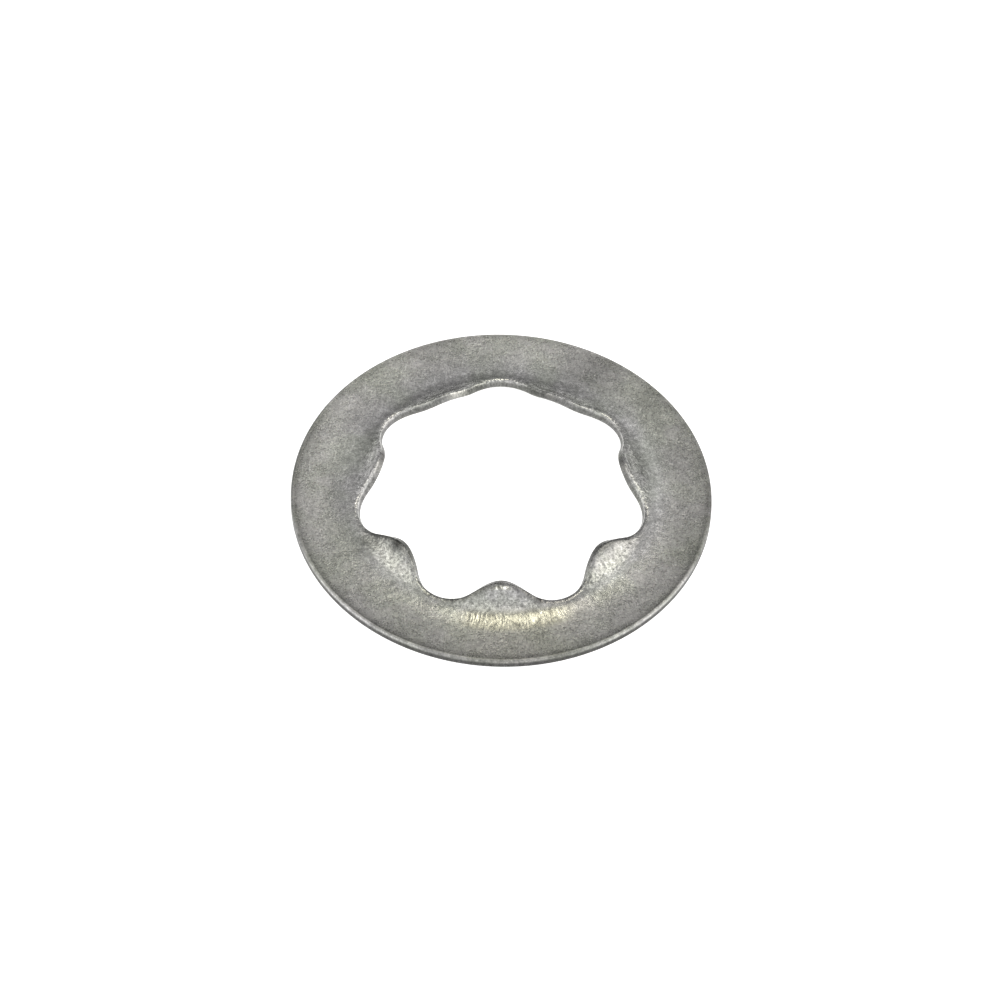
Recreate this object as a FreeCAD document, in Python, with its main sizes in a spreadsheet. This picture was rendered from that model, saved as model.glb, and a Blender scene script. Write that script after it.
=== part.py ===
"""Retainer washer, stamped from one sheet of spring steel.

A flat flange lies on the table. Towards the middle the sheet rises, gently at first and
then in a tighter bend, and ends in a wavy hole. The seven lobes of the wave reach furthest
into the bend and stand up as a curled lip; the valleys between them stay almost flat.

Own frame in millimetres: +Z points up along the axis and the origin is the centre of the
flange's underside. One lobe points along -Y.
"""
import FreeCAD
import Part
import math
import os
import Sketcher
from FreeCAD import Placement, Rotation, Vector

# Driving sizes in millimetres and degrees

SIZES = {
    "outer_diameter": 37.5,
    "sheet_thickness": 0.8,
    "flange_width": 3.0,
    "gentle_bend_width": 2.0,
    "gentle_bend_angle": 8.0,
    "tight_bend_width": 2.3,
    "lobe_tip_angle": 60.0,
    "lobe_count": 7,
    "lobe_depth": 1.6,
    "flank_angle": 45.0,
    "rim_roll_radius": 0.2,
    "hole_edge_break": 0.2,
    "lower_edge_break": 0.08,
}

# Direction of the first lobe around the axis, and how far the skin runs on past the lobe
# tips so that the punch cuts the whole of its edge, both in degrees
FIRST_LOBE = -90.0
SPARE_ANGLE = 10.0

# The sizes that follow from them, as expressions for the document's objects

BEND_START = "(Sizes.outer_diameter / 2 - Sizes.flange_width)"
TIGHT_START = f"({BEND_START} - Sizes.gentle_bend_width)"
LOBE_TIP = f"({TIGHT_START} - Sizes.tight_bend_width)"
GENTLE_ANGLE = "(Sizes.gentle_bend_angle * 1 deg)"
TIP_ANGLE = "(Sizes.lobe_tip_angle * 1 deg)"
TIGHT_RADIUS = f"(Sizes.tight_bend_width / (sin{TIP_ANGLE} - sin{GENTLE_ANGLE}))"
HALF_PITCH = "(180 deg / Sizes.lobe_count)"
PUNCH_HEIGHT = "Sizes.sheet_thickness + Sizes.gentle_bend_width + 2 * Sizes.tight_bend_width"

# The same sizes as numbers, to draw each sketch close to where its constraints hold it

outer_radius = SIZES["outer_diameter"] / 2
skin_height = SIZES["sheet_thickness"]
bend_start = outer_radius - SIZES["flange_width"]
tight_start = bend_start - SIZES["gentle_bend_width"]
lobe_tip = tight_start - SIZES["tight_bend_width"]
gentle_angle = math.radians(SIZES["gentle_bend_angle"])
tip_angle = math.radians(SIZES["lobe_tip_angle"])
end_angle = tip_angle + math.radians(SPARE_ANGLE)
gentle_radius = SIZES["gentle_bend_width"] / math.sin(gentle_angle)
tight_radius = SIZES["tight_bend_width"] / (math.sin(tip_angle) - math.sin(gentle_angle))
half_pitch = math.pi / SIZES["lobe_count"]
valley_bottom = lobe_tip + SIZES["lobe_depth"]
flank_angle = math.radians(SIZES["flank_angle"])


def make_spreadsheet(doc):
    """One named cell for each driving size."""
    sheet = doc.addObject("Spreadsheet::Sheet", "Sizes")
    for row, (name, value) in enumerate(SIZES.items(), start=1):
        sheet.set(f"A{row}", name)
        sheet.set(f"B{row}", str(value))
        sheet.setAlias(f"B{row}", name)
    doc.recompute()


def arc(centre, radius, start, end):
    """Arc for a sketch, anticlockwise between two angles."""
    return Part.ArcOfCircle(Part.Circle(centre, Vector(0, 0, 1), radius), start, end)


def polar(radius, angle):
    return Vector(radius * math.cos(angle), radius * math.sin(angle), 0)


def relate(sketch, *relation):
    sketch.addConstraint(Sketcher.Constraint(*relation))


def dimension(sketch, name, expression, *relation):
    """Named size of a sketch, bound to the spreadsheet."""
    index = sketch.addConstraint(Sketcher.Constraint(*relation))
    sketch.renameConstraint(index, name)
    sketch.setExpression(f"Constraints.{name}", expression)


def draw_section(doc):
    """Half section of the sheet's upper skin: flat flange, gentle bend and tight bend."""
    sketch = doc.addObject("Sketcher::SketchObject", "SkinSection")
    upright = Rotation(Vector(1, 0, 0), 90)
    turned = Rotation(Vector(0, 0, 1), FIRST_LOBE)
    sketch.Placement = Placement(Vector(0, 0, 0), turned * upright)

    down = -math.pi / 2
    lean = Vector(math.sin(gentle_angle), math.cos(gentle_angle), 0)
    gentle_centre = Vector(bend_start, skin_height + gentle_radius, 0)
    tight_centre = gentle_centre - lean * (gentle_radius - tight_radius)
    rim = Vector(outer_radius, skin_height, 0)
    flange = sketch.addGeometry(Part.LineSegment(rim, Vector(bend_start, skin_height, 0)))
    gentle = sketch.addGeometry(arc(gentle_centre, gentle_radius, down - gentle_angle, down))
    tight = sketch.addGeometry(arc(tight_centre, tight_radius, down - end_angle, down - gentle_angle))

    relate(sketch, "Horizontal", flange)
    relate(sketch, "Tangent", flange, 2, gentle, 2)
    relate(sketch, "Tangent", gentle, 1, tight, 2)
    dimension(sketch, "Rim", "Sizes.outer_diameter / 2", "DistanceX", -1, 1, flange, 1, outer_radius)
    dimension(sketch, "Height", "Sizes.sheet_thickness", "DistanceY", -1, 1, flange, 1, skin_height)
    dimension(sketch, "BendStart", BEND_START, "DistanceX", -1, 1, flange, 2, bend_start)
    dimension(sketch, "TightStart", TIGHT_START, "DistanceX", -1, 1, gentle, 1, tight_start)
    dimension(sketch, "GentleSweep", GENTLE_ANGLE, "Angle", gentle, gentle_angle)
    dimension(sketch, "TightRadius", TIGHT_RADIUS, "Radius", tight, tight_radius)
    dimension(sketch, "TightSweep", f"{TIP_ANGLE} - {GENTLE_ANGLE} + {SPARE_ANGLE} deg",
              "Angle", tight, end_angle - gentle_angle)
    return sketch


def turn_skin(doc, section):
    """Upper skin of the pressed sheet, before its hole is punched."""
    skin = doc.addObject("Part::Revolution", "PressedSkin")
    skin.Source = section
    skin.Axis = Vector(0, 0, 1)
    skin.Base = Vector(0, 0, 0)
    skin.Angle = 360
    skin.Solid = False
    return skin


def origin_feature(body, role):
    """One of a body's own origin planes or axes."""
    return next(item for item in body.Origin.OriginFeatures if item.Role == role)


def wave_radii():
    """Radii of the wave's valley and lobe arcs, which meet tangentially at the flank angle."""
    along = math.cos(half_pitch) - math.cos(flank_angle)
    across = math.sin(flank_angle) - math.sin(half_pitch)
    depth = valley_bottom - lobe_tip * math.cos(half_pitch)
    offset = lobe_tip * math.sin(half_pitch)
    rise = 1 - math.cos(flank_angle)
    valley = (along * offset - across * depth) / (along * math.sin(flank_angle) - across * rise)
    return valley, (depth - rise * valley) / along


def draw_sector(body):
    """One valley of the wave between two lobe tips, closed at the axis; the valley is on +Y.

    Each flank turns by the flank angle before it bends the other way into the lobe. That
    and the two diameters settle the radii of the arcs.
    """
    sketch = body.newObject("Sketcher::SketchObject", "WaveSector")
    sketch.AttachmentSupport = (origin_feature(body, "XY_Plane"), [""])
    sketch.MapMode = "FlatFace"

    valley_radius, lobe_radius = wave_radii()
    right = math.pi / 2 - half_pitch
    left = math.pi / 2 + half_pitch
    joint = math.pi / 2 - flank_angle
    valley_centre = Vector(0, valley_bottom - valley_radius, 0)
    right_centre = polar(lobe_tip + lobe_radius, right)
    left_centre = polar(lobe_tip + lobe_radius, left)

    axis = Vector(0, 0, 0)
    right_side = sketch.addGeometry(Part.LineSegment(axis, polar(lobe_tip, right)))
    right_lobe = sketch.addGeometry(arc(right_centre, lobe_radius, math.pi + joint, math.pi + right))
    valley = sketch.addGeometry(arc(valley_centre, valley_radius, joint, math.pi - joint))
    left_lobe = sketch.addGeometry(arc(left_centre, lobe_radius, left - math.pi, -joint))
    left_side = sketch.addGeometry(Part.LineSegment(polar(lobe_tip, left), axis))
    bottom = sketch.addGeometry(Part.Point(Vector(0, valley_bottom, 0)), True)

    relate(sketch, "Coincident", right_side, 1, -1, 1)
    relate(sketch, "Coincident", left_side, 2, -1, 1)
    relate(sketch, "Perpendicular", right_side, 2, right_lobe, 2)
    relate(sketch, "Tangent", right_lobe, 1, valley, 1)
    relate(sketch, "Tangent", valley, 2, left_lobe, 2)
    relate(sketch, "Perpendicular", left_lobe, 1, left_side, 1)
    relate(sketch, "PointOnObject", valley, 3, -2)
    relate(sketch, "PointOnObject", bottom, 1, -2)
    relate(sketch, "PointOnObject", bottom, 1, valley)
    dimension(sketch, "RightTip", LOBE_TIP, "Distance", right_side, lobe_tip)
    dimension(sketch, "LeftTip", LOBE_TIP, "Distance", left_side, lobe_tip)
    dimension(sketch, "RightAngle", HALF_PITCH, "Angle", right_side, 1, -2, 1, half_pitch)
    dimension(sketch, "LeftAngle", HALF_PITCH, "Angle", -2, 1, left_side, 2, half_pitch)
    dimension(sketch, "ValleyBottom", f"{LOBE_TIP} + Sizes.lobe_depth",
              "DistanceY", -1, 1, bottom, 1, valley_bottom)
    dimension(sketch, "FlankTurns", "Sizes.flank_angle * 2 deg", "Angle", valley, 2 * flank_angle)
    return sketch


def make_punch(doc):
    """Punch for the wavy hole: the sector made solid and repeated around the axis."""
    body = doc.addObject("PartDesign::Body", "WavePunch")
    sector = draw_sector(body)
    doc.recompute()

    pad = body.newObject("PartDesign::Pad", "PunchSector")
    pad.Profile = sector
    pad.setExpression("Length", PUNCH_HEIGHT)
    doc.recompute()

    ring = body.newObject("PartDesign::PolarPattern", "PunchRing")
    ring.Originals = [pad]
    ring.Axis = (origin_feature(body, "Z_Axis"), [""])
    ring.Angle = 360
    ring.setExpression("Occurrences", "Sizes.lobe_count")
    body.Tip = ring

    body.Placement = Placement(Vector(0, 0, 0), Rotation(Vector(0, 0, 1), 0))
    body.setExpression("Placement.Rotation.Angle", f"{FIRST_LOBE} deg - 90 deg + {HALF_PITCH}")
    doc.recompute()
    return body


def make_sheet_metal(doc, skin, punch):
    """The skin with its hole, thickened downwards; every cut wall stands square to the sheet."""
    punched = doc.addObject("Part::Cut", "PunchedSkin")
    punched.Base = skin
    punched.Tool = punch
    sheet = doc.addObject("Part::Offset", "SheetMetal")
    sheet.Source = punched
    sheet.setExpression("Value", "-Sizes.sheet_thickness")
    sheet.Fill = True
    doc.recompute()
    return punched, sheet


def wall_edges(solid, skin, depth):
    """Numbers of the cut walls' edges that run at one depth below the upper skin: rim, hole."""
    def depths(shape):
        return {round(vertex.distToShape(skin)[0], 2) for vertex in shape.Vertexes}

    walls = [face for face in solid.Faces if len(depths(face)) > 1]
    rim, hole = [], []
    for number, edge in enumerate(solid.Edges, start=1):
        on_wall = any(edge.isSame(other) for wall in walls for other in wall.Edges)
        if on_wall and depths(edge) == {round(depth, 2)}:
            corner = edge.Vertexes[0]
            side = rim if math.hypot(corner.X, corner.Y) > bend_start else hole
            side.append(f"Edge{number}")
    return rim, hole


def dress_up(doc, body, kind, name, edges, setting, size):
    """Round or break some edges of a body's last feature."""
    feature = body.newObject(f"PartDesign::{kind}", name)
    feature.Base = (feature.BaseFeature, edges)
    feature.setExpression(setting, f"Sizes.{size}")
    doc.recompute()


def make_washer(doc, punched, sheet):
    """The washer itself: the sheet metal with its rolled rim and its broken edges."""
    body = doc.addObject("PartDesign::Body", "Washer")
    body.Label = "retainer_washer"
    body.BaseFeature = sheet
    doc.recompute()
    rim, hole = wall_edges(body.Shape, punched.Shape, 0)
    dress_up(doc, body, "Fillet", "RolledRim", rim, "Radius", "rim_roll_radius")
    rim, hole = wall_edges(body.Shape, punched.Shape, 0)
    dress_up(doc, body, "Chamfer", "HoleEdge", hole, "Size", "hole_edge_break")
    rim, hole = wall_edges(body.Shape, punched.Shape, skin_height)
    dress_up(doc, body, "Chamfer", "LowerEdges", rim + hole, "Size", "lower_edge_break")
    return body


def check(doc, body):
    """Stop where an object of the document failed or the washer isn't a sound solid."""
    for item in doc.Objects:
        if {"Invalid", "Error"} & set(item.State):
            raise RuntimeError(f"{item.Name} did not build")
    if body.Shape.isNull() or not body.Shape.isValid():
        raise RuntimeError(f"{body.Label} is not a sound solid")


def main():
    doc = FreeCAD.newDocument("RetainerWasher")
    make_spreadsheet(doc)
    section = draw_section(doc)
    skin = turn_skin(doc, section)
    punch = make_punch(doc)
    punched, sheet = make_sheet_metal(doc, skin, punch)
    washer = make_washer(doc, punched, sheet)
    check(doc, washer)
    os.makedirs("parts", exist_ok=True)
    washer.Shape.exportStep(f"parts/{washer.Label}.step")
    print(f"{washer.Label}: {washer.Shape.Volume:.1f} mm3, lobe tip radius {lobe_tip:.2f}")


main()
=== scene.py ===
import math

import bpy
import numpy as np
from mathutils import Matrix, Vector


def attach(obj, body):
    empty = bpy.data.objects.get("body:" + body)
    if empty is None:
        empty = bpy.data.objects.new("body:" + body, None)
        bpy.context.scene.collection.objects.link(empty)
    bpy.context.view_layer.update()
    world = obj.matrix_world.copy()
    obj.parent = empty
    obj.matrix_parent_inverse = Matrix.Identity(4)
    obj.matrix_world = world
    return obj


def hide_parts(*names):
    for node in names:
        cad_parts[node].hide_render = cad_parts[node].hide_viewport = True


# The washer's sizes in metres and radians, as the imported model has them
OUTER_RADIUS = 0.01875
THICKNESS = 0.0008
FLANGE_WIDTH = 0.0030
GENTLE_WIDTH = 0.0020
GENTLE_ANGLE = math.radians(8)
TIGHT_WIDTH = 0.0023
TIP_ANGLE = math.radians(60)
LOBES = 7
LOBE_DEPTH = 0.0016
FLANK_ANGLE = math.radians(45)
RIM_ROLL = 0.0002
LOWER_BREAK = 0.00008
FIRST_LOBE = math.radians(-90)

# What press and wear make of them, in metres: the width and depth of the hole's rolled edge,
# how far each change of curvature is spread to either side, how far the shearing lifts the
# upper rim, and how far wear reaches inwards from it
HOLE_ROLL_WIDTH = 0.00045
HOLE_ROLL_DEPTH = 0.00024
FIRST_EASE = 0.0005
SECOND_EASE = 0.0009
RIM_LIFT = 0.00005
WEAR_REACH = 0.00006

# Wear of the hole's lower edge, and that of the skin beside it and of the rim's lower edge,
# as shares of the upper rim's, and how sharply wear rises over the hole's rolled edge
HOLE_LOWER_WEAR = 0.6
LOWER_WEAR = 0.5
HOLE_WEAR_POWER = 3

# How much of a lobe's turn from the front still counts in the valleys beside it, for the
# painted shade along the hole's near edge
VALLEY_TURN = 0.35

# Mesh steps: columns from lobe tip to lobe tip, rows along each stretch of the section, how
# closely rows crowd towards the rim and the hole, and points of the curve that carries them
COLUMNS_PER_LOBE = 132
FLAT_ROWS = 12
GENTLE_ROWS = 7
TIGHT_ROWS = 18
ROLL_ROWS = 8
WALL_ROWS = 3
BREAK_ROWS = 3
RIM_CROWDING = 1.6
HOLE_CROWDING = 1.4
SKIN_STEPS = 4001

# The steel's colours, with the straw tint painted into its highlight, and the depth of its relief in
# metres
GREEN_GREY = (0.405, 0.4125, 0.381, 1)
PURPLE_GREY = (0.40, 0.3945, 0.392, 1)
PAINTED_HIGHLIGHT_TINT = (0.42, 0.412, 0.35, 1)
RELIEF = 0.000006

# Lengths of the material are in millimetres
MM_PER_METRE = 1000

# Directions that places are measured along: the drift of the tone, in parts per millimetre,
# the way to the near highlight and the way to the stretch at the back that is painted in
# shade. The last value is where the highlight's middle is across.
DIRECTIONS = {
    "drift": (-0.007, 0.0105, 0),
    "ahead": (0.10, -0.995, 0),
    "backward": (-0.34, 0.94, 0),
}
HIGHLIGHT_X = 1.2

# Radius at which patterns round the axis have their true size, and how much of the way along
# the skin or down a wall counts for them, which draws them out into streaks
GRAIN_RADIUS = 14.5
STREAK_SQUEEZE = 0.3
SHEAR_SQUEEZE = 0.25

# Noise patterns: where they lie, the size of their features, how far their place is shifted,
# and their detail and roughness. The gain stretches each to about -1 to 1.
NOISE_GAIN = 4.0
PATTERNS = {
    "cloud": ("place", 5.0, (0, 0, 0), 2, 0.5),
    "blotch": ("place", 1.6, (31, 7, 0), 3, 0.5),
    "mottle": ("place", 0.55, (3, 40, 5), 2, 0.5),
    "grain": ("place", 0.17, (0, 0, 0), 2, 0.65),
    "coarse": ("place", 0.32, (5, 80, 1), 1, 0.5),
    "fine": ("place", 0.09, (9, 2, 60), 1, 0.5),
    "vein": ("place", 0.42, (8, 1, 30), 1, 0.5),
    "spot": ("place", 0.45, (70, 3, 2), 1, 0.5),
    "streak": ("along_skin", 0.22, (0, 0, 0), 1, 0.5),
    "shear": ("down_wall", 0.16, (0, 0, 0), 2, 0.5),
}

# Zones of the washer, each the product of smooth steps. A step goes from 0 at its first
# number to 1 at its second, or between its third and fourth where it has them. along is the
# distance on the skin inwards from the bend's start, edge the distance from the wavy hole,
# depth the share of the thickness below the upper skin, and away how far the hole's edge
# turns from the front. x, y, side, aside, ahead and backward are places, and the other
# names are patterns.
UPPER = ("depth", 0.5, 0.2)
RIM = ("along", -2.6, -2.75)
ZONES = {
    "upper": (UPPER,),
    "rim": (RIM,),
    # The back half, where the bend is painted lighter
    "back": (("y", -6.0, 6.0),),
    # The bend, which forming has stretched and polished, the near highlight in it, the stretch
    # round the highlight that gets a painted straw tint, and the right stretch of the bend, which
    # is painted lighter
    "bend": (("along", 0.2, 1.7), ("along", 4.6, 3.2), UPPER),
    "highlight": (
        ("along", 0.1, 0.8), ("along", 2.7, 1.9), ("ahead", 12.3, 13.6), ("aside", 5.8, 3.4), UPPER,
    ),
    "glow": (("ahead", 12.0, 14.0), ("aside", 8.0, 1.0), UPPER),
    "right_bend_painted_light": (("along", -0.6, 0.4), ("along", 2.4, 1.5), ("x", 8.0, 13.0), UPPER),
    "right_smooth": (("x", 3.0, 7.0, 0.5, 0.2),),
    # The lobes: where they curl up, painted light at the feet of the lobes beside the near one,
    # a painted glint on the near one's tip, and painted shade on the ones at the back
    "curled": (("along", 2.2, 3.0), UPPER),
    "curl_foot_painted_light": (
        ("along", 1.5, 2.1), ("along", 3.1, 2.4), ("y", -5.0, -7.5), ("side", 6.0, 8.5),
        ("x", -1.0, 1.0, 0.12, 0.34), UPPER,
    ),
    "near_tip_painted_glint": (
        ("side", 1.3, 0.3), ("y", -10.6, -11.4), ("edge", 0.10, 0.30), ("edge", 0.62, 0.42), UPPER,
    ),
    "clumps": (("coarse", -0.5, 0.4),),
    "far_curl_painted_shade": (("backward", 6.5, 12.0), ("along", 1.3, 2.9), ("edge", 0.25, 0.6), UPPER),
    # The hole's edge: painted shade along it on the near side and on the far side, and a painted
    # highlight on a stretch of its far wall
    "near_edge_painted_shade": (("away", 0.0, 0.8), ("edge", 0.72, 0.05), UPPER),
    "far_edge_painted_shade": (("edge", 0.65, 0.30), ("y", 4.0, 11.0), (*RIM, 1.0, 0.0)),
    "far_wall_painted_highlight": (("x", -2.6, -3.8), ("x", -6.0, -4.6), ("y", 9.0, 10.5)),
    # The rim and the flange beside it: the flange darker towards the rim, a band of painted shade
    # just inside the rim, a painted highlight along the rim's rolled edge, brightest at the near
    # sides, painted shade on the roll's inner part at those sides, painted shade and painted light
    # on the rim's cut wall, and a darker belt across the wall's middle
    "outer_band": (
        ("along", -1.2, -2.7), ("side", 4.0, 14.0, 0.75, 1.0), ("x", -6.0, 14.0, 1.0, 0.6),
    ),
    "rim_band_painted_shade": (("along", -2.1, -2.85), ("y", 12.0, -4.0, 0.35, 1.0)),
    "rim_painted_highlight": (RIM, ("y", 1.0, -8.0, 0.08, 0.48)),
    "rim_sides": (RIM, ("y", -6.5, -11.5), ("side", 4.0, 11.0)),
    "rim_inside_painted_shade": (("along", -2.96, -2.90),),
    "rim_right_painted_light": (RIM, ("y", -6.0, -8.5), ("x", 8.0, 14.0)),
    "rim_wall": (RIM, ("y", 1.0, -8.0, 0.25, 0.12)),
    "rim_belt": (RIM, ("depth", 0.14, 0.30), ("depth", 0.70, 0.50)),
    # Patches of a pattern, among them painted glints and the patches of the rim's painted
    # highlight, and the depths at which a sheared wall turns rough and dark
    "painted_glints": (("spot", 0.85, 1.15),),
    "sparkle": (("mottle", 0.1, 0.9),),
    "worn_patch": (("blotch", -0.6, 0.8),),
    "torn": (("depth", 0.35, 0.6),),
    "wall_tone": (("depth", 0.30, 0.50, 0.80, 0.51),),
}

# How the steel's tone, tint, roughness and relief are made up: each line is an amount and
# the patterns and zones that it is multiplied by. Tones add up in an exponent.
TONE = (
    (1.0, "drift"),
    (0.06, "cloud"),
    (0.08, "blotch"),
    (0.14, "mottle"),
    (0.14, "coarse"),
    (0.34, "grain", "plain"),
    (0.28, "fine", "plain"),
    (0.34, "streak", "highlight"),
    (0.12, "mottle", "bend"),
    (0.20, "worm", "curled"),
    # Painted glints scattered over the upper skin
    (0.35, "painted_glints", "upper"),
    # Painted light on the back half of the bend, on the right bend and at the feet of the lobes beside
    # the near one, a painted glint on the near lobe's tip, and painted shade on the lobes at the back
    # and along the hole's edge
    (0.14, "bend", "back"),
    (0.14, "right_bend_painted_light"),
    (1.0, "curl_foot_painted_light"),
    (1.5, "near_tip_painted_glint", "clumps"),
    (-0.62, "far_curl_painted_shade"),
    (-0.8, "near_edge_painted_shade"),
    (-0.30, "far_edge_painted_shade"),
    # A painted highlight on a stretch of the hole's far wall
    (0.75, "cut", "far_wall_painted_highlight"),
    (-0.22, "outer_band"),
    # Painted shade inside the rim, a painted highlight along its rolled edge, strongest at the near
    # sides, painted shade on the roll's inner part there, and painted shade and painted light on its
    # cut wall
    (-0.50, "rim_band_painted_shade"),
    (1.0, "worn", "rim_painted_highlight"),
    (0.58, "worn", "rim_sides"),
    (0.28, "worn", "rim_sides", "sparkle"),
    (-0.50, "rim_sides", "rim_inside_painted_shade"),
    (-1.0, "cut", "rim_wall"),
    (-0.26, "cut", "rim_belt"),
    (0.22, "cut", "rim_right_painted_light"),
    (-0.15, "cut", "uncut", "rim"),
)
# Shares of the straw tint painted into the near highlight, the stretch round it and the near lobe's
# glint
HIGHLIGHT_TINT_SHARES = (
    (0.75, "highlight"),
    (0.3, "glow"),
    (0.7, "near_tip_painted_glint"),
)
BASE_ROUGHNESS = 0.29
ROUGHNESS = (
    (0.05, "grain"),
    (0.03, "blotch"),
    (-0.03, "bend"),
    (-0.04, "worn"),
    (0.16, "worn", "rim"),
    (0.18, "cut", "torn"),
)
BUMPS = (
    (0.5, "mottle", "plain"),
    (0.52, "grain", "plain"),
    (-0.26, "grain", "plain", "bend"),
    (0.10, "fine", "plain"),
    (-0.06, "fine", "plain", "bend"),
    (1.0, "coarse", "bend", "plain", "right_smooth"),
    (1.4, "streak", "highlight"),
    (1.5, "coarse", "curled"),
    (0.8, "worm", "curled"),
    (0.5, "shear", "cut"),
)

# How far the highlight wipes out the grain, how sharp the worm-like veins are, how bright
# worn patches are, how much a sheared wall varies, how blotches share in the two greys, and
# over what range of noise these pass into each other
HIGHLIGHT_POLISH = 0.7
VEIN_SHARPNESS = 3.0
WORN_SHINE = 0.28
SHEAR_VARIATION = 0.16
BLOTCH_TINT = 0.5
TINT_RANGE = 0.75

# Smudges and patches of painted shade and painted highlight on the upper skin, the latter on
# the lobes, the bend and the near lobe's tip: where their middles are and how far they reach,
# in millimetres, and how much darker or lighter they are. The blotches make their outlines
# uneven.
PATCH_UNEVENNESS = 0.12
SMUDGES_AND_PAINTED_LIGHT = (
    (8.6, 14.6, 4.6, -0.42),
    (13.3, 11.4, 3.2, -0.20),
    (15.6, 4.2, 3.4, -0.20),
    (2.7, 15.2, 3.4, 0.18),
    (-14.6, 5.2, 3.6, 0.20),
    (-17.2, 6.4, 2.8, -0.26),
    (-12.2, 9.4, 2.6, -0.10),
    (16.6, -6.0, 3.0, -0.14),
    (-7.5, -15.0, 4.5, -0.10),
    (-6.0, 16.8, 4.0, -0.24),
    (6.9, -12.5, 2.4, -0.20),
    (9.2, -11.0, 2.0, -0.08),
    (12.6, 0.0, 1.8, 0.30),
    (9.8, -9.2, 2.2, 0.26),
    (16.0, -2.5, 4.0, -0.10),
    (9.4, -6.9, 1.2, -0.12),
    (-10.4, -9.1, 1.9, 0.22),
    (-9.6, -8.3, 1.8, -0.12),
    (-11.8, -5.9, 1.7, -0.50),
    (-9.2, -6.95, 0.9, -1.2),
    (-0.1, -11.5, 0.4, -0.7),
)

# The floor: its width, and how far it lies below the washer, in metres, its colour and how
# much it glows to the camera and in reflections
FLOOR_WIDTH = 3
FLOOR_GAP = 0.00002
FLOOR_COLOUR = (0.8, 0.8, 0.8, 1)
FLOOR_GLOW = 0.7
WHITE = (1, 1, 1, 1)

# Brightness of the room before and behind the object
WORLD_FRONT = 1.25
WORLD_BACK = 0.42

# Soft boxes: name, azimuth and elevation in degrees, distance and size in metres, power in
# watts, and colour
LAMPS = (
    ("back_top", 82, 67.5, 0.62, (0.10, 0.09), 0.228, (1, 0.96, 0.82)),
    ("top", -80, 86, 0.60, (0.16, 0.20), 0.12, (1, 0.98, 0.94)),
    ("right_back", 60, 44, 0.50, (0.20, 0.18), 0.045, (1, 1, 1)),
    ("left", 164, 53, 0.50, (0.22, 0.22), 0.125, (1, 0.97, 0.90)),
    ("right", 3, 36, 0.40, (0.32, 0.34), 0.48, (1, 0.97, 0.88)),
    ("front_left", -173, 42, 0.43, (0.22, 0.26), 0.14, (1, 0.97, 0.90)),
)

# The photograph's camera: distance and framing in outer radii, angles in degrees, the pixel
# that the washer's origin lies on, the sensor's width in millimetres and the clipping in metres
CAMERA_DISTANCE = 30.0
CAMERA_ELEVATION = 51.114
CAMERA_ORBIT = -1.243
CAMERA_ROLL = 1.744
PIXELS_PER_RADIUS = 210.34
IMAGE_SIZE = 1000
ORIGIN_PIXEL = (501.20, 500.0)
SENSOR_WIDTH = 36.0
CLIP_NEAR = 0.01
CLIP_FAR = 10


# Shape of the sheet

BEND_START = OUTER_RADIUS - FLANGE_WIDTH
TIGHT_START = BEND_START - GENTLE_WIDTH
LOBE_TIP = TIGHT_START - TIGHT_WIDTH
GENTLE_RADIUS = GENTLE_WIDTH / math.sin(GENTLE_ANGLE)
TIGHT_RADIUS = TIGHT_WIDTH / (math.sin(TIP_ANGLE) - math.sin(GENTLE_ANGLE))
GENTLE_ARC = GENTLE_RADIUS * GENTLE_ANGLE


def hole_edge(theta):
    """Plan radius of the wavy hole's upper edge, and the edge's slant to the circle there."""
    half = math.pi / LOBES
    along = math.cos(half) - math.cos(FLANK_ANGLE)
    across = math.sin(FLANK_ANGLE) - math.sin(half)
    depth = LOBE_TIP + LOBE_DEPTH - LOBE_TIP * math.cos(half)
    rise = 1 - math.cos(FLANK_ANGLE)
    valley_radius = along * LOBE_TIP * math.sin(half) - across * depth
    valley_radius /= along * math.sin(FLANK_ANGLE) - across * rise
    lobe_radius = (depth - rise * valley_radius) / along
    valley_centre = LOBE_TIP + LOBE_DEPTH - valley_radius
    lobe_centre = LOBE_TIP + lobe_radius

    # Angle from the nearest valley's middle
    turn = np.mod(theta - FIRST_LOBE, 2 * half) - half
    away = np.abs(turn)
    from_lobe = half - away
    on_valley = valley_centre * np.cos(away)
    valley = on_valley + np.sqrt(np.maximum(valley_radius**2 - (valley_centre * np.sin(away))**2, 0))
    inside = np.maximum(lobe_radius**2 - (lobe_centre * np.sin(from_lobe))**2, 0)
    lobe = lobe_centre * np.cos(from_lobe) - np.sqrt(inside)
    joint_across = valley_radius * math.sin(FLANK_ANGLE)
    joint = math.atan2(joint_across, valley_centre + valley_radius * math.cos(FLANK_ANGLE))
    radius = np.where(away < joint, valley, lobe)
    step = theta[1] - theta[0]
    slope = (np.roll(radius, -1) - np.roll(radius, 1)) / (2 * step)
    return radius, np.arctan(slope / radius)


def eased(arc, start, reach):
    """Length past a start, taken up smoothly over a reach on either side of it."""
    share = np.clip((arc - start) / (2 * reach) + 0.5, 0, 1)
    return np.where(share < 1, reach * share**2, arc - start)


def running_sum(values, step):
    """Integral of evenly spaced values up to each of them."""
    return np.concatenate([[0], np.cumsum((values[1:] + values[:-1]) / 2)]) * step


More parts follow.
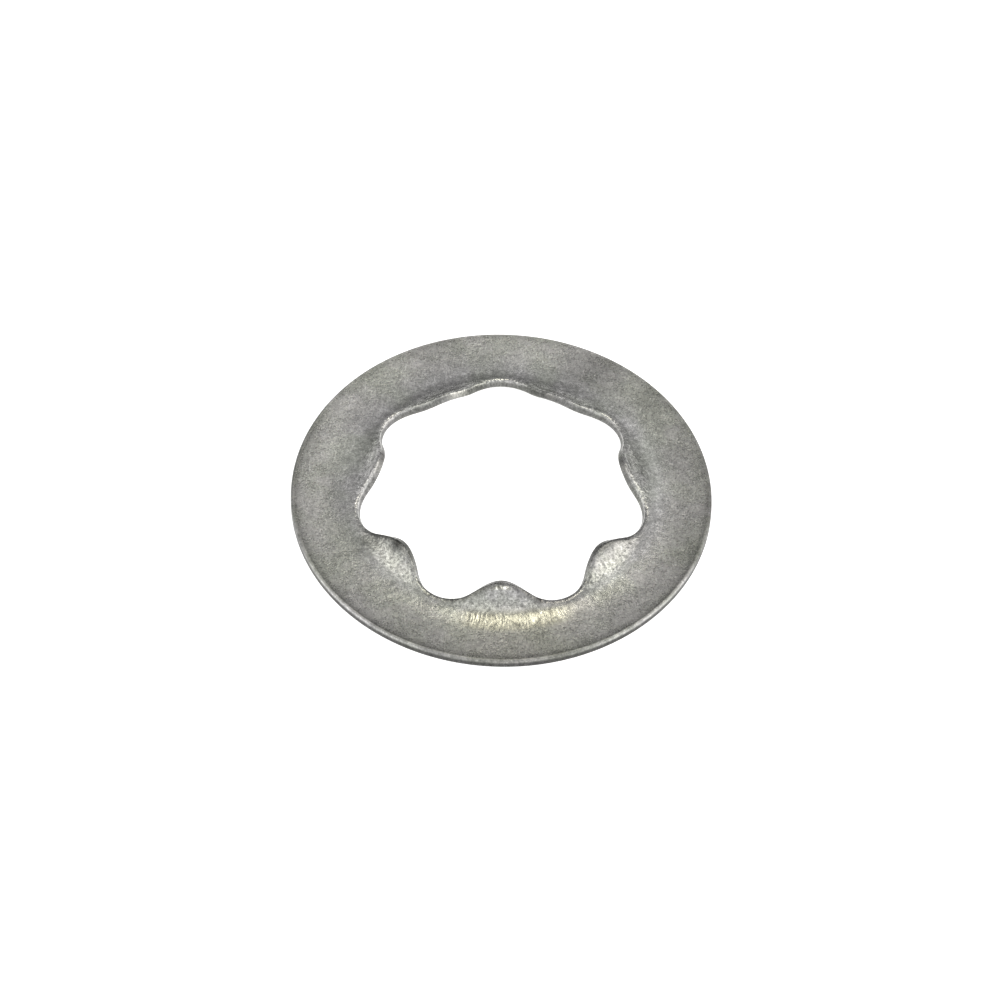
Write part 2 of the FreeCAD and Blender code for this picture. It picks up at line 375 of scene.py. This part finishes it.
# The upper skin's section in close steps inwards from the rim: distance from the bend's
# start, slope, radius and height; the press leaves each change of curvature a soft one
SKIN_ARC = np.linspace(-FLANGE_WIDTH, GENTLE_ARC + 2 * TIGHT_WIDTH, SKIN_STEPS)
SKIN_SLOPE = eased(SKIN_ARC, 0, FIRST_EASE) / GENTLE_RADIUS
SKIN_SLOPE += eased(SKIN_ARC, GENTLE_ARC, SECOND_EASE) * (1 / TIGHT_RADIUS - 1 / GENTLE_RADIUS)
SKIN_STEP = SKIN_ARC[1] - SKIN_ARC[0]
SKIN_RADIUS = OUTER_RADIUS - running_sum(np.cos(SKIN_SLOPE), SKIN_STEP)
SKIN_HEIGHT = THICKNESS + running_sum(np.sin(SKIN_SLOPE), SKIN_STEP)


def skin_point(arc):
    """Radius, height and slope of the upper skin at a distance inwards from the bend's start."""
    return tuple(np.interp(arc, SKIN_ARC, values) for values in (SKIN_RADIUS, SKIN_HEIGHT, SKIN_SLOPE))


def arc_at(radius):
    """Distance along the skin, inwards from the bend's start, at a plan radius."""
    return np.interp(-radius, -SKIN_RADIUS, SKIN_ARC)


class Section:
    """The closed section, row by row, with one number in each row for every column.

    along is the distance along the skin, depth the distance below it, and edge the distance
    from the hole. worn is 1 on an edge that the tumbling has polished, where the rim's painted
    highlight also lies, and cut is 1 on the sheared walls.
    """

    def __init__(self, edge_arc, stretch):
        self.edge_arc = edge_arc
        self.stretch = stretch
        self.rows = []
        self.upper_side()
        self.hole_wall()
        self.lower_side()
        self.rim_wall()

    def add(self, along, depth, worn=0.0, cut=0.0):
        even = np.zeros_like(self.edge_arc)
        self.rows.append({
            "along": along + even,
            "depth": depth + even,
            "edge": np.clip(self.edge_arc - along, 0, None) / self.stretch,
            "worn": worn + even,
            "cut": cut + even,
        })

    def upper_side(self):
        """Rolled upper rim and upper skin, with closer rows near the rim and the hole."""
        for i in range(ROLL_ROWS):
            angle = math.pi / 2 * i / ROLL_ROWS
            inset = RIM_ROLL * (1 - math.cos(angle))
            self.add(inset - FLANGE_WIDTH, RIM_ROLL * (1 - math.sin(angle)), 1.0, 1 - i / ROLL_ROWS)
        start = RIM_ROLL - FLANGE_WIDTH
        for i in range(FLAT_ROWS):
            share = (i / FLAT_ROWS)**RIM_CROWDING
            self.add(start * (1 - share), 0, math.exp(start * share / WEAR_REACH))
        for i in range(GENTLE_ROWS):
            self.add(GENTLE_ARC * i / GENTLE_ROWS, 0)
        inner = self.edge_arc - HOLE_ROLL_WIDTH * self.stretch
        for i in range(TIGHT_ROWS):
            share = 1 - (1 - i / TIGHT_ROWS)**HOLE_CROWDING
            self.add(GENTLE_ARC + (inner - GENTLE_ARC) * share, 0)

    def hole_wall(self):
        """Hole's rolled upper edge, its cut wall and its lower edge."""
        inner = self.edge_arc - HOLE_ROLL_WIDTH * self.stretch
        for i in range(ROLL_ROWS):
            angle = math.pi / 2 * i / ROLL_ROWS
            down = HOLE_ROLL_DEPTH * (1 - math.cos(angle))
            wear = (i / ROLL_ROWS)**HOLE_WEAR_POWER
            self.add(inner + HOLE_ROLL_WIDTH * self.stretch * math.sin(angle), down, wear, wear)
        wall = THICKNESS - HOLE_ROLL_DEPTH - LOWER_BREAK
        for i in range(WALL_ROWS):
            wear = max(0.0, 1 - 2 * i / WALL_ROWS)
            self.add(self.edge_arc, HOLE_ROLL_DEPTH + wall * i / WALL_ROWS, wear, 1.0)
        for i in range(BREAK_ROWS):
            angle = math.pi / 2 * i / BREAK_ROWS
            inset = LOWER_BREAK * self.stretch * (1 - math.cos(angle))
            depth = THICKNESS - LOWER_BREAK * (1 - math.sin(angle))
            self.add(self.edge_arc - inset, depth, HOLE_LOWER_WEAR, 1 - i / BREAK_ROWS)

    def lower_side(self):
        """Lower skin, from the hole back out to the rim."""
        inner = self.edge_arc - LOWER_BREAK * self.stretch
        for i in range(TIGHT_ROWS):
            wear = LOWER_WEAR if i == 0 else 0.0
            self.add(inner + (GENTLE_ARC - inner) * i / TIGHT_ROWS, THICKNESS, wear)
        for i in range(GENTLE_ROWS):
            self.add(GENTLE_ARC * (1 - i / GENTLE_ROWS), THICKNESS)
        for i in range(FLAT_ROWS):
            self.add((LOWER_BREAK - FLANGE_WIDTH) * i / FLAT_ROWS, THICKNESS)

    def rim_wall(self):
        """Rim's lower edge and its cut wall."""
        for i in range(BREAK_ROWS):
            angle = math.pi / 2 * i / BREAK_ROWS
            outset = LOWER_BREAK * (1 - math.sin(angle))
            depth = THICKNESS - LOWER_BREAK * (1 - math.cos(angle))
            self.add(outset - FLANGE_WIDTH, depth, LOWER_WEAR, i / BREAK_ROWS)
        wall = THICKNESS - RIM_ROLL - LOWER_BREAK
        for i in range(WALL_ROWS):
            wear = max(0.0, 2 * i / WALL_ROWS - 1)
            self.add(-FLANGE_WIDTH, THICKNESS - LOWER_BREAK - wall * i / WALL_ROWS, wear, 1.0)


def store(mesh, name, values):
    """One number for each vertex, which the material reads by name."""
    layer = mesh.attributes.new(name, "FLOAT", "POINT")
    layer.data.foreach_set("value", np.array(values, dtype=np.float32).ravel())


def ring_faces(rows, columns):
    """Quads between neighbouring rows and columns of a grid that closes both ways."""
    faces = []
    for k in range(rows):
        after = (k + 1) % rows
        for i in range(columns):
            j = (i + 1) % columns
            faces.append((k * columns + i, k * columns + j, after * columns + j, after * columns + i))
    return faces


def build_washer():
    """The washer as one closed grid of quads, whose vertices know where on the sheet they are."""
    columns = COLUMNS_PER_LOBE * LOBES
    theta = FIRST_LOBE + np.arange(columns) * 2 * math.pi / columns
    edge, slant = hole_edge(theta)
    rows = Section(arc_at(edge), 1 / np.cos(slant)).rows
    grid = np.zeros((len(rows), columns, 3))
    for k, row in enumerate(rows):
        radius, height, slope = skin_point(row["along"])
        outward = np.clip(-row["along"], 0, None) / FLANGE_WIDTH
        lift = RIM_LIFT * outward**2 * (1 - row["depth"] / THICKNESS)
        radius = radius - row["depth"] * np.sin(slope)
        height = height - row["depth"] * np.cos(slope) + lift
        grid[k] = np.stack([radius * np.cos(theta), radius * np.sin(theta), height], axis=1)

    mesh = bpy.data.meshes.new("washer_sheet")
    mesh.from_pydata(grid.reshape(-1, 3).tolist(), [], ring_faces(len(rows), columns))
    for name, key, unit in (
        ("along_mm", "along", MM_PER_METRE),
        ("edge_mm", "edge", MM_PER_METRE),
        ("depth_share", "depth", 1 / THICKNESS),
        ("worn", "worn", 1),
        ("cut", "cut", 1),
    ):
        store(mesh, name, [row[key] * unit for row in rows])
    tipward = (edge.max() - edge) / LOBE_DEPTH
    away = -np.sin(theta - slant) * (VALLEY_TURN + (1 - VALLEY_TURN) * tipward)
    store(mesh, "away", [away] * len(rows))
    mesh.shade_smooth()
    washer = bpy.data.objects.new("washer_sheet", mesh)
    bpy.context.scene.collection.objects.link(washer)
    return washer


# Materials

class Graph:
    """Short names for the nodes that the materials are made of."""

    def __init__(self, tree):
        self.nodes = tree.nodes
        self.links = tree.links

    def node(self, kind, **settings):
        node = self.nodes.new(kind)
        for name, value in settings.items():
            setattr(node, name, value)
        return node

    def put(self, socket, value):
        """Link a socket, or set it where the value is a plain number or colour."""
        if isinstance(value, bpy.types.NodeSocket):
            self.links.new(value, socket)
        else:
            socket.default_value = value

    def math(self, operation, *values):
        node = self.node("ShaderNodeMath", operation=operation)
        for socket, value in zip(node.inputs, values):
            self.put(socket, value)
        return node.outputs["Value"]

    def vector(self, operation, *values, out="Vector"):
        node = self.node("ShaderNodeVectorMath", operation=operation)
        for socket, value in zip(node.inputs, values):
            self.put(socket, value)
        return node.outputs[out]

    def scaled(self, vector, factor):
        node = self.node("ShaderNodeVectorMath", operation="SCALE")
        self.put(node.inputs[0], vector)
        self.put(node.inputs["Scale"], factor)
        return node.outputs["Vector"]

    def upright(self, height):
        """Vector along Z of the given length."""
        node = self.node("ShaderNodeCombineXYZ")
        self.put(node.inputs["Z"], height)
        return node.outputs["Vector"]

    def parts(self, vector):
        node = self.node("ShaderNodeSeparateXYZ")
        self.put(node.inputs["Vector"], vector)
        return node.outputs

    def attribute(self, name):
        return self.node("ShaderNodeAttribute", attribute_name=name).outputs["Fac"]

    def blend(self, share, first, second):
        node = self.node("ShaderNodeMix", data_type="RGBA")
        self.put(node.inputs["Factor"], share)
        self.put(node.inputs[6], first)
        self.put(node.inputs[7], second)
        return node.outputs[2]

    def noise(self, vector, size_mm, detail, roughness):
        """Noise of about -1 to 1 with features of the given size, for a vector in millimetres."""
        node = self.node("ShaderNodeTexNoise")
        self.put(node.inputs["Vector"], vector)
        node.inputs["Scale"].default_value = 1 / size_mm
        node.inputs["Detail"].default_value = detail
        node.inputs["Roughness"].default_value = roughness
        return self.math("MULTIPLY_ADD", node.outputs["Fac"], NOISE_GAIN, -NOISE_GAIN / 2)

    def ramp(self, value, low, high, start=0.0, end=1.0):
        """Smooth step from start to end while the value goes from low to high."""
        node = self.node("ShaderNodeMapRange", interpolation_type="SMOOTHSTEP")
        self.put(node.inputs["Value"], value)
        for name, number in (("From Min", low), ("From Max", high), ("To Min", start), ("To Max", end)):
            node.inputs[name].default_value = number
        return node.outputs["Result"]

    def total(self, *terms):
        result = terms[0]
        for term in terms[1:]:
            result = self.math("ADD", result, term)
        return result

    def product(self, *factors):
        result = factors[0]
        for factor in factors[1:]:
            result = self.math("MULTIPLY", result, factor)
        return result

    def sum_of(self, recipe, field):
        """Sum of a recipe's lines, each an amount and the names of what it is multiplied by."""
        terms = []
        for amount, *names in recipe:
            terms.append(self.product(*(field[name] for name in names), amount))
        return self.total(*terms)


def add_places(graph, field, place):
    """Where on the washer a point is, as numbers by name."""
    parts = graph.parts(place)
    field["x"] = parts["X"]
    field["y"] = parts["Y"]
    field["side"] = graph.math("ABSOLUTE", field["x"])
    field["aside"] = graph.math("ABSOLUTE", graph.math("SUBTRACT", field["x"], HIGHLIGHT_X))
    for name, direction in DIRECTIONS.items():
        field[name] = graph.vector("DOT_PRODUCT", place, direction, out="Value")
    field["along"] = graph.attribute("along_mm")
    field["edge"] = graph.attribute("edge_mm")
    field["depth"] = graph.attribute("depth_share")
    for name in ("worn", "cut", "away"):
        field[name] = graph.attribute(name)
    field["uncut"] = graph.math("SUBTRACT", 1.0, field["cut"])


def add_patterns(graph, field, place, flat):
    """Noise in the washer's own space, and round its axis where it is drawn out."""
    outward = graph.scaled(graph.vector("NORMALIZE", flat), GRAIN_RADIUS)
    run = graph.upright(graph.math("MULTIPLY", field["along"], STREAK_SQUEEZE))
    sink = graph.upright(graph.math("MULTIPLY", field["depth"], SHEAR_SQUEEZE))
    layouts = {
        "place": place,
        "along_skin": graph.vector("ADD", outward, run),
        "down_wall": graph.vector("ADD", outward, sink),
    }
    for name, (layout, size, shift, detail, roughness) in PATTERNS.items():
        shifted = graph.vector("ADD", layouts[layout], shift)
        field[name] = graph.noise(shifted, size, detail, roughness)
    vein = graph.math("ABSOLUTE", field["vein"])
    field["worm"] = graph.math("MULTIPLY_ADD", vein, -VEIN_SHARPNESS, 1.0)


def add_zones(graph, field):
    """The zones, and what is plain because it lies outside the near highlight."""
    for name, steps in ZONES.items():
        field[name] = graph.product(*(graph.ramp(field[what], *ends) for what, *ends in steps))
    polished = graph.math("MULTIPLY", field["highlight"], HIGHLIGHT_POLISH)
    field["plain"] = graph.math("SUBTRACT", 1.0, polished)


def smudges_and_painted_light(graph, field, flat):
    """How much the smudges and the patches of painted shade and painted highlight darken or
    lighten the upper skin.
    """
    marks = []
    for x, y, reach, amount in SMUDGES_AND_PAINTED_LIGHT:
        distance = graph.vector("DISTANCE", flat, (x, y, 0), out="Value")
        uneven = graph.math("MULTIPLY_ADD", field["blotch"], PATCH_UNEVENNESS * reach, distance)
        marks.append(graph.ramp(uneven, reach, 0.0, 0.0, amount))
    return graph.product(graph.total(*marks), field["upper"])


def steel_colour(graph, field, flat):
    """Grey in two hues with a straw tint painted into the highlight and the tip's glint, times
    the tone, which holds painted shade and painted highlights.
    """
    hue = graph.math("MULTIPLY_ADD", field["blotch"], BLOTCH_TINT, field["cloud"])
    greys = graph.blend(graph.ramp(hue, -TINT_RANGE, TINT_RANGE), GREEN_GREY, PURPLE_GREY)
    tint = graph.blend(graph.sum_of(HIGHLIGHT_TINT_SHARES, field), greys, PAINTED_HIGHLIGHT_TINT)
    shade = graph.total(graph.sum_of(TONE, field), smudges_and_painted_light(graph, field, flat))
    worn = graph.total(1.0, graph.product(field["worn"], field["worn_patch"], WORN_SHINE))
    sheared = graph.total(field["wall_tone"], graph.product(field["shear"], SHEAR_VARIATION))
    wall = graph.total(1.0, graph.product(field["cut"], graph.math("SUBTRACT", sheared, 1.0)))
    return graph.scaled(tint, graph.product(graph.math("EXPONENT", shade), worn, wall))


def steel():
    """Tumbled spring steel: grained skin, streaks in the bend, worn edges and sheared walls, with
    painted highlights, painted glints and painted shade in its colour.
    """
    material = bpy.data.materials.new("steel")
    material.use_nodes = True
    graph = Graph(material.node_tree)
    place = graph.scaled(graph.node("ShaderNodeTexCoord").outputs["Object"], MM_PER_METRE)
    flat = graph.vector("MULTIPLY", place, (1, 1, 0))
    field = {}
    add_places(graph, field, place)
    add_patterns(graph, field, place, flat)
    add_zones(graph, field)

    bump = graph.node("ShaderNodeBump")
    bump.inputs["Strength"].default_value = 1
    bump.inputs["Distance"].default_value = RELIEF
    graph.put(bump.inputs["Height"], graph.sum_of(BUMPS, field))
    shader = graph.nodes["Principled BSDF"]
    shader.inputs["Metallic"].default_value = 1
    graph.put(shader.inputs["Base Color"], steel_colour(graph, field, flat))
    graph.put(shader.inputs["Roughness"], graph.total(BASE_ROUGHNESS, graph.sum_of(ROUGHNESS, field)))
    graph.put(shader.inputs["Normal"], bump.outputs["Normal"])
    return material


# Stage, light and camera

def build_floor():
    """White floor a hair below the washer, which shows from above and not from below."""
    bpy.ops.mesh.primitive_plane_add(size=FLOOR_WIDTH, location=(0, 0, -FLOOR_GAP))
    floor = bpy.context.object
    floor.name = "floor"
    material = bpy.data.materials.new("white_floor")
    material.use_nodes = True
    graph = Graph(material.node_tree)
    shader = graph.nodes["Principled BSDF"]
    shader.inputs["Base Color"].default_value = FLOOR_COLOUR
    shader.inputs["Roughness"].default_value = 1
    shader.inputs["Specular IOR Level"].default_value = 0
    shader.inputs["Emission Color"].default_value = WHITE
    path = graph.node("ShaderNodeLightPath").outputs
    mirrored = graph.math("MAXIMUM", path["Is Glossy Ray"], path["Is Transmission Ray"])
    seen = graph.math("MAXIMUM", path["Is Camera Ray"], mirrored)
    graph.put(shader.inputs["Emission Strength"], graph.product(seen, FLOOR_GLOW))
    sides = graph.node("ShaderNodeMixShader")
    graph.put(sides.inputs[0], graph.node("ShaderNodeNewGeometry").outputs["Backfacing"])
    graph.put(sides.inputs[1], shader.outputs["BSDF"])
    graph.put(sides.inputs[2], graph.node("ShaderNodeBsdfTransparent").outputs["BSDF"])
    graph.put(graph.nodes["Material Output"].inputs["Surface"], sides.outputs["Shader"])
    floor.data.materials.append(material)


def build_world():
    """Soft studio: bright behind the camera and dim behind the object."""
    world = bpy.data.worlds.new("studio")
    world.use_nodes = True
    graph = Graph(world.node_tree)
    background = graph.nodes["Background"]
    parts = graph.parts(graph.node("ShaderNodeTexCoord").outputs["Generated"])
    graph.put(background.inputs["Strength"], graph.ramp(parts["Y"], -1.0, 1.0, WORLD_FRONT, WORLD_BACK))
    background.inputs["Color"].default_value = WHITE
    bpy.context.scene.world = world


def direction(azimuth, elevation):
    """Unit vector from the washer at angles in degrees."""
    turn, lift = math.radians(azimuth), math.radians(elevation)
    return Vector((math.cos(lift) * math.cos(turn), math.cos(lift) * math.sin(turn), math.sin(lift)))


def add_lamp(name, azimuth, elevation, distance, size, power, colour):
    """Soft box that faces the washer, at angles in degrees and a distance in metres."""
    data = bpy.data.lights.new(name, "AREA")
    data.shape = "RECTANGLE"
    data.size = size[0]
    data.size_y = size[1]
    data.energy = power
    data.color = colour
    lamp = bpy.data.objects.new(name, data)
    back = direction(azimuth, elevation)
    lamp.location = back * distance
    lamp.rotation_euler = (-back).to_track_quat("-Z", "Y").to_euler()
    lamp.visible_camera = False
    bpy.context.scene.collection.objects.link(lamp)


def build_camera():
    """Camera at the photograph's place, rolled and slid until the washer's origin sits on its pixel."""
    back = direction(CAMERA_ORBIT - 90, CAMERA_ELEVATION)
    right = Vector((0, 0, 1)).cross(back).normalized()
    up = back.cross(right)
    roll = math.radians(CAMERA_ROLL)
    rolled_right = right * math.cos(roll) + up * math.sin(roll)
    rolled_up = up * math.cos(roll) - right * math.sin(roll)
    pixel = OUTER_RADIUS / PIXELS_PER_RADIUS
    middle = IMAGE_SIZE / 2
    slide = rolled_right * (middle - ORIGIN_PIXEL[0]) + rolled_up * (ORIGIN_PIXEL[1] - middle)
    distance = CAMERA_DISTANCE * OUTER_RADIUS
    place = back * distance + slide * pixel
    data = bpy.data.cameras.new("camera")
    data.sensor_width = SENSOR_WIDTH
    data.lens = SENSOR_WIDTH * PIXELS_PER_RADIUS * CAMERA_DISTANCE / IMAGE_SIZE
    data.clip_start = CLIP_NEAR
    data.clip_end = CLIP_FAR
    camera = bpy.data.objects.new("camera", data)
    facing = Matrix((rolled_right, rolled_up, back)).transposed()
    camera.matrix_world = Matrix.Translation(place) @ facing.to_4x4()
    bpy.context.scene.collection.objects.link(camera)
    bpy.context.scene.camera = camera


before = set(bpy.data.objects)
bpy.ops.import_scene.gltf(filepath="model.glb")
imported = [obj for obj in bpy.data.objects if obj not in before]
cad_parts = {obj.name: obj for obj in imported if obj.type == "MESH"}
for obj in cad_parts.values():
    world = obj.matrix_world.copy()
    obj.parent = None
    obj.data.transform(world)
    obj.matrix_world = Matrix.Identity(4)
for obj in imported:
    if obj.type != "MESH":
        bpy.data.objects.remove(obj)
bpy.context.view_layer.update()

washer = build_washer()
washer.data.materials.append(steel())
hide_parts("retainer_washer")
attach(washer, "root")

build_floor()
build_world()
for lamp in LAMPS:
    add_lamp(*lamp)
build_camera()
bpy.context.scene.view_settings.view_transform = "Standard"
